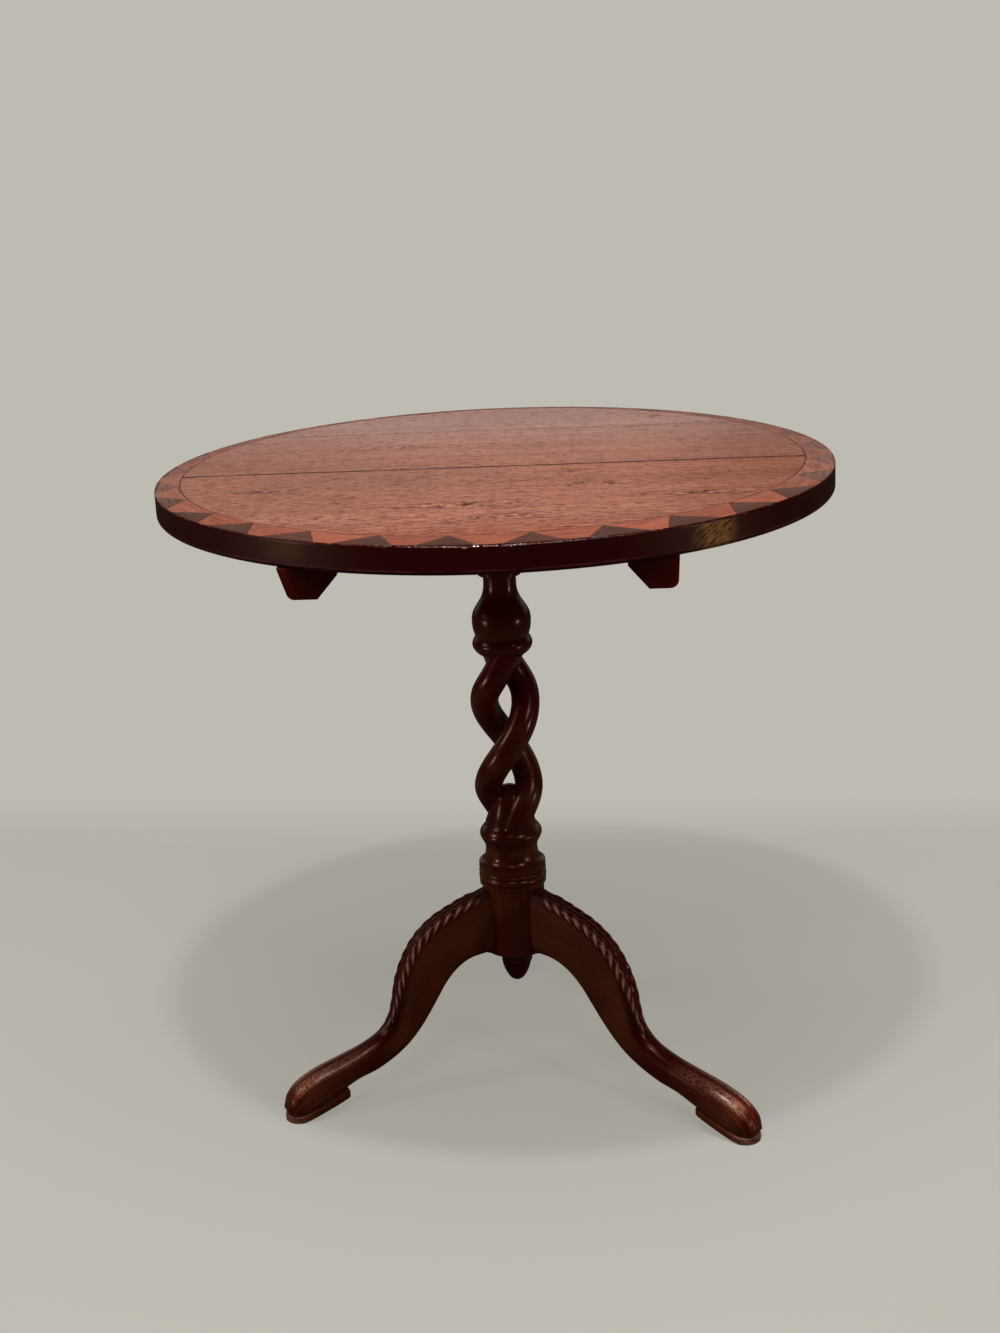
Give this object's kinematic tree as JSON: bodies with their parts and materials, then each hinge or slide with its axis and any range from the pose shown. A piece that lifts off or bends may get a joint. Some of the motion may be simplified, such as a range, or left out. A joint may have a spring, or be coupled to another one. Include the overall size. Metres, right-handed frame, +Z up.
{
  "type": "tilt-top pedestal table",
  "caption": "Round tilt-top occasional table with a sawtooth inlaid border, an open twist column and carved cabriole legs; the top tips up to vertical on pivots.",
  "frame": {"origin": "on the floor, on the column's axis, under the centre of the top", "axes": "+Z up, +X along the tilting pivots and the boards, -Y towards the front, where the face of the tipped top looks"},
  "size_m": [0.7, 0.7, 0.69],
  "materials": {
    "top_wood": "polished stain, worn",
    "dark_tile_wood": "polished, worn",
    "light_tile_wood": "polished, worn",
    "under_wood": "dull old wood",
    "column_wood": "gloss dark red stain",
    "leg_wood": "gloss dark red stain",
    "pad_wood": "dark stain",
    "brass": "aged",
    "screw_steel": "dull"
  },
  "bodies": {
    "base": {"column": "column_wood", "tenon_wedge": "under_wood", "pendant": "column_wood", "pivot_block": "under_wood", "pivot_pin_left": "under_wood", "pivot_pin_right": "under_wood", "keeper_plate": "brass", "keeper_screws": "brass", "leg_left": "leg_wood", "leg_right": "leg_wood", "leg_back": "leg_wood", "foot_pad_left": "pad_wood", "foot_pad_right": "pad_wood", "foot_pad_back": "pad_wood"},
    "top": {"top_board_front": "top_wood", "top_board_middle": "top_wood", "top_board_back": "top_wood", "border_dark_tiles": "dark_tile_wood", "border_light_tiles": "light_tile_wood", "bearer_left": "under_wood", "bearer_right": "under_wood", "bearer_screws": "screw_steel", "catch_housing": "brass", "catch_screws": "brass"},
    "bolt": {"catch_bolt": "brass", "catch_knob": "brass"}
  },
  "joints": [
    {"name": "top_tilt", "type": "hinge", "parent": "base", "child": "top", "pos_m": [0, -0.095, 0.6435], "axis": [1, 0, 0], "range_deg": [0, 90]},
    {"name": "catch_slide", "type": "slide", "parent": "top", "child": "bolt", "axis": [0, -1, 0], "range_m": [0, 0.014]}
  ]
}
